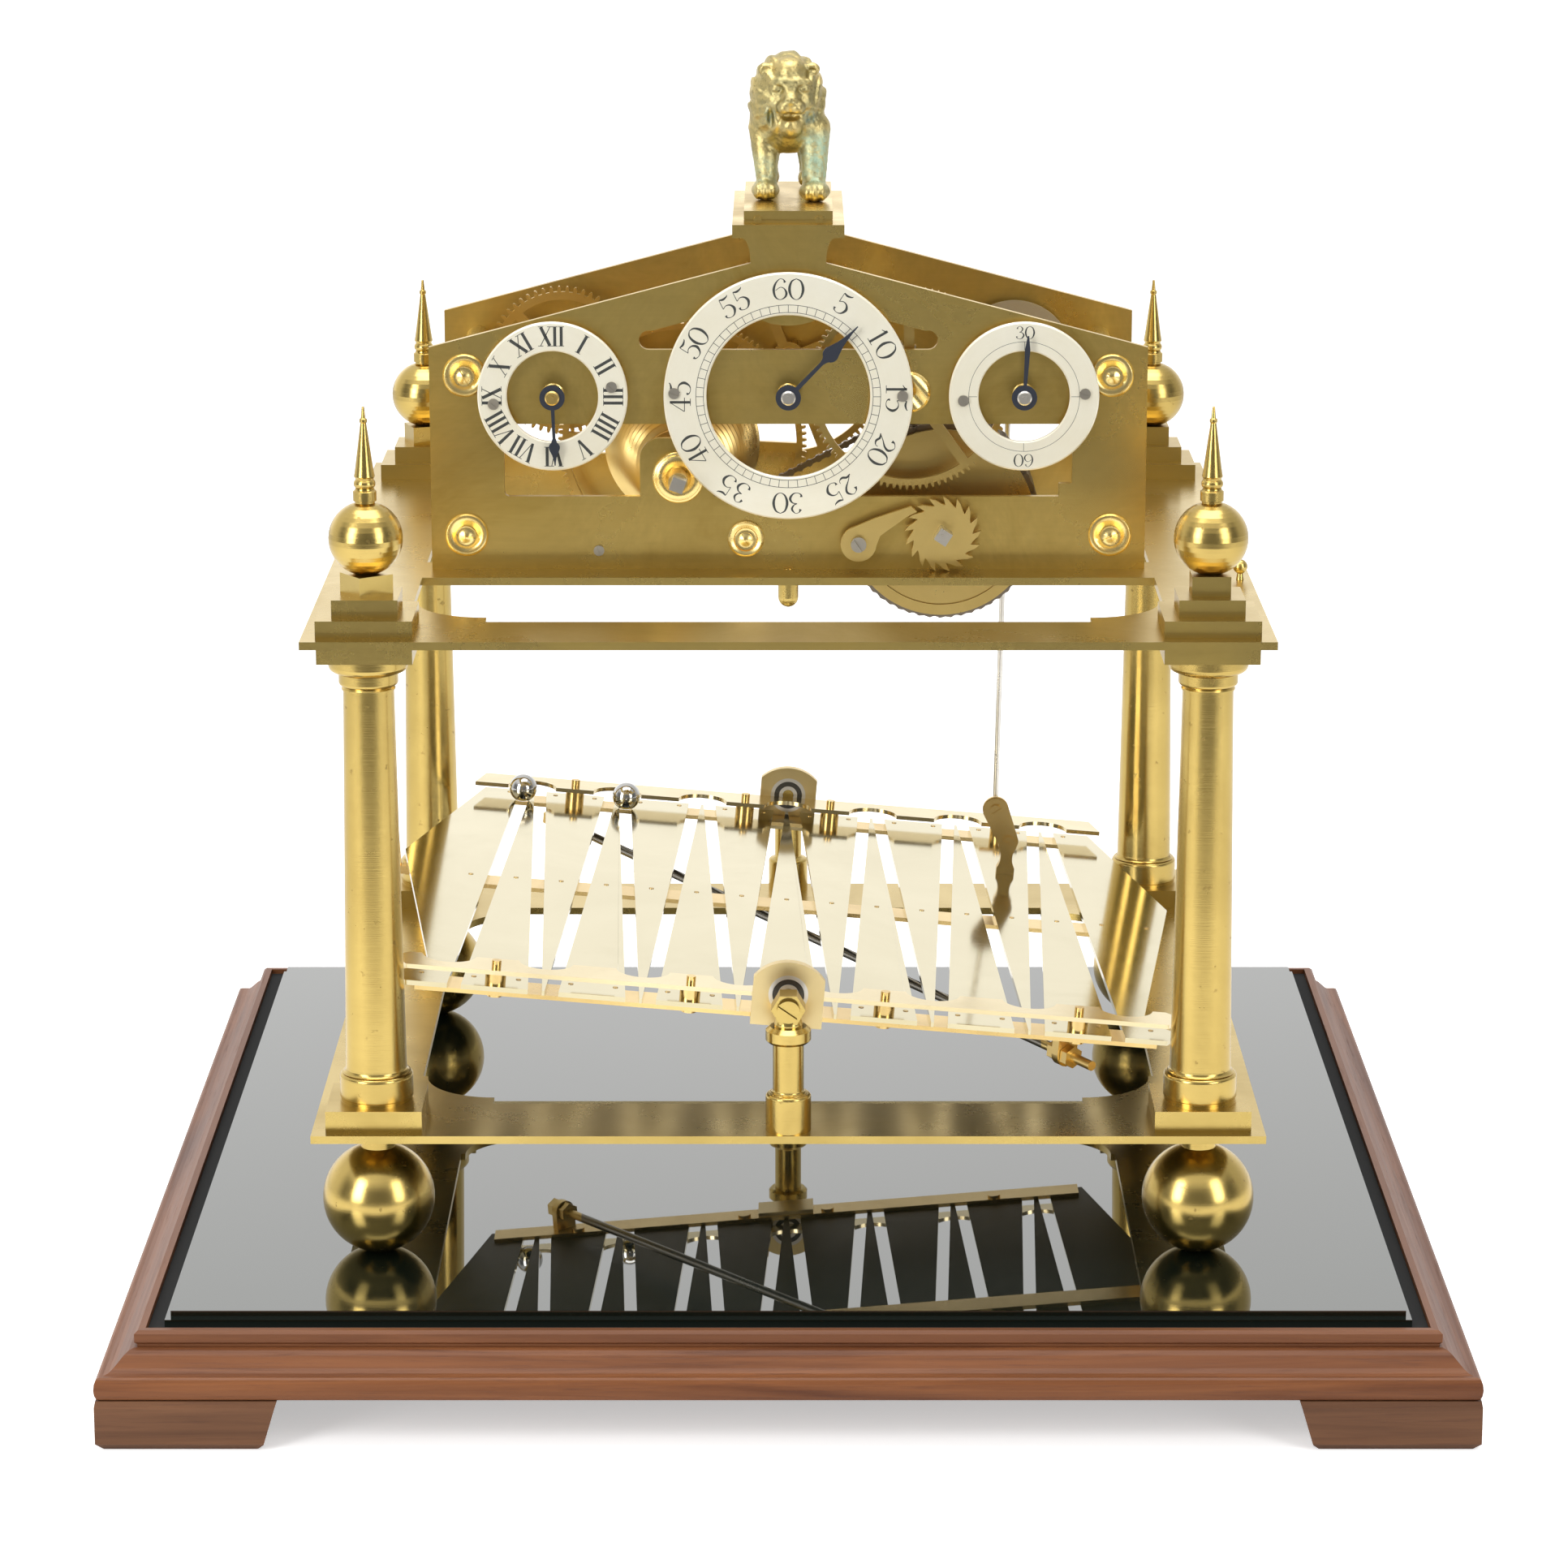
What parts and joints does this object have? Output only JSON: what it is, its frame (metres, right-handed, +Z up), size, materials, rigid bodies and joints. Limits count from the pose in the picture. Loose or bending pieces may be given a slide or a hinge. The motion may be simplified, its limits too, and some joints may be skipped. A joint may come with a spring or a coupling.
{
  "type": "rolling ball clock",
  "caption": "Skeleton rolling ball clock: ball feet and columns carry a gabled movement with separate dials over a tilting zigzag track, on glass in a wooden base, with a lion on top.",
  "frame": {"origin": "centre of the wooden base on the ground plane", "axes": "+X to the viewer's right facing the dials, +Y to the rear, +Z up"},
  "size_m": [0.539, 0.539, 0.5154],
  "materials": {
    "wood": "reddish brown stain, satin varnish",
    "wood_feet": "reddish brown stain, satin varnish, worn",
    "felt": "black felt",
    "glass": "dark polished plate glass, ground edge",
    "brass_columns": "turned and polished, lightly tarnished",
    "brass_frame": "brushed, aged",
    "brass_plates": "brushed, dark with age",
    "lion_bronze": "cast, worn bright with grey-green patina",
    "silvered": "silvered, matt",
    "brass_small": "satin, aged",
    "steel": "polished",
    "chain_steel": "dark, oiled",
    "brass_wheels": "satin, aged",
    "blued_steel": "blued",
    "brass_table": "polished, pale",
    "brass_fittings": "satin",
    "ball_steel": "polished steel"
  },
  "bodies": {
    "frame": {"base_frame": "wood", "base_feet": "wood_feet", "base_felt": "felt", "glass_plate": "glass", "ball_feet": "brass_columns", "lower_plate": "brass_frame", "plinths": "brass_frame", "columns": "brass_columns", "abaci": "brass_frame", "upper_plate": "brass_frame", "corner_steps": "brass_frame", "finials": "brass_columns", "pivot_posts": "brass_columns", "pivot_screws": "brass_columns", "front_plate": "brass_plates", "rear_plate": "brass_plates", "pillars": "brass_plates", "pillar_screws": "brass_plates", "top_slab": "brass_plates", "lion_plinth": "brass_plates", "lion": "lion_bronze", "hour_dial": "silvered", "minute_dial": "silvered", "seconds_dial": "silvered", "dial_feet": "brass_small", "small_screws": "brass_small", "plate_bushes": "brass_plates", "barrel_arbor": "steel", "ratchet_wheel": "brass_small", "rear_cock": "brass_plates", "frame_nuts": "brass_frame", "chain_run": "chain_steel"},
    "click": {"click": "brass_small"},
    "barrel": {"barrel": "brass_wheels", "barrel_chain": "chain_steel"},
    "fusee": {"fusee": "brass_wheels", "great_wheel": "brass_wheels", "motion_wheel": "brass_wheels"},
    "minute_hand": {"minute_arbor": "steel", "minute_wheel": "brass_wheels", "minute_hand": "blued_steel"},
    "hour_hand": {"hour_wheel": "brass_wheels", "hour_hand": "blued_steel"},
    "intermediate": {"intermediate_arbor": "steel", "intermediate_wheel": "brass_wheels"},
    "seconds_hand": {"seconds_arbor": "steel", "crank": "brass_wheels", "seconds_hand": "blued_steel"},
    "rod": {"connecting_rod": "steel"},
    "table": {"rod_link": "brass_fittings", "track_plate": "brass_table", "tie_bar": "brass_fittings", "guard_rails": "brass_table", "table_spacers": "brass_fittings", "bearing_brackets": "brass_table", "ball_bearings": "steel", "truss_rod": "brass_fittings", "trip_wire": "brass_fittings"},
    "ball_left": {"ball_left": "ball_steel"},
    "ball_right": {"ball_right": "ball_steel"}
  },
  "joints": [
    {"name": "table_tilt", "type": "hinge", "parent": "frame", "child": "table", "pos_m": [0, 0, 0.1542], "axis": [0, -1, 0], "range_deg": [0, 9.6]},
    {"name": "rod_swing", "type": "hinge", "parent": "table", "child": "rod", "pos_m": [0.09277, 0.083, 0.16849], "axis": [0, -1, 0], "range_deg": [-9.6, 0]},
    {"name": "ball_left_roll", "type": "slide", "parent": "table", "child": "ball_left", "axis": [-0.04, -0.9992, 0.0034], "range_m": [0, 0.285]},
    {"name": "ball_right_roll", "type": "slide", "parent": "table", "child": "ball_right", "axis": [0.04, -0.9992, -0.0034], "range_m": [0, 0.285]},
    {"name": "click_pivot", "type": "hinge", "parent": "frame", "child": "click", "pos_m": [0.0291, -0.0555, 0.3166], "axis": [0, -1, 0], "range_deg": [0, 20]},
    {"name": "intermediate_turn", "type": "hinge", "parent": "frame", "child": "intermediate", "pos_m": [0.0502, 0, 0.3795], "axis": [0, -1, 0], "continuous": true},
    {"name": "minute_turn", "type": "hinge", "parent": "frame", "child": "minute_hand", "pos_m": [0, 0, 0.3785], "axis": [0, -1, 0], "continuous": true},
    {"name": "seconds_turn", "type": "hinge", "parent": "frame", "child": "seconds_hand", "pos_m": [0.097, 0, 0.3785], "axis": [0, -1, 0], "continuous": true},
    {"name": "fusee_turn", "type": "hinge", "parent": "frame", "child": "fusee", "pos_m": [-0.0454, 0, 0.344], "axis": [0, -1, 0], "continuous": true},
    {"name": "hour_turn", "type": "hinge", "parent": "frame", "child": "hour_hand", "pos_m": [-0.097, 0, 0.3785], "axis": [0, -1, 0], "continuous": true},
    {"name": "barrel_turn", "type": "hinge", "parent": "frame", "child": "barrel", "pos_m": [0.064, 0, 0.3208], "axis": [0, -1, 0], "continuous": true}
  ],
  "couplings": [
    {"joint": "rod_swing", "follows": "table_tilt", "ratio": -1},
    {"joint": "minute_turn", "follows": "intermediate_turn", "ratio": -0.13333},
    {"joint": "seconds_turn", "follows": "intermediate_turn", "ratio": -8},
    {"joint": "fusee_turn", "follows": "intermediate_turn", "ratio": 0.011111},
    {"joint": "hour_turn", "follows": "intermediate_turn", "ratio": -0.011111},
    {"joint": "barrel_turn", "follows": "intermediate_turn", "ratio": -0.0084446}
  ]
}
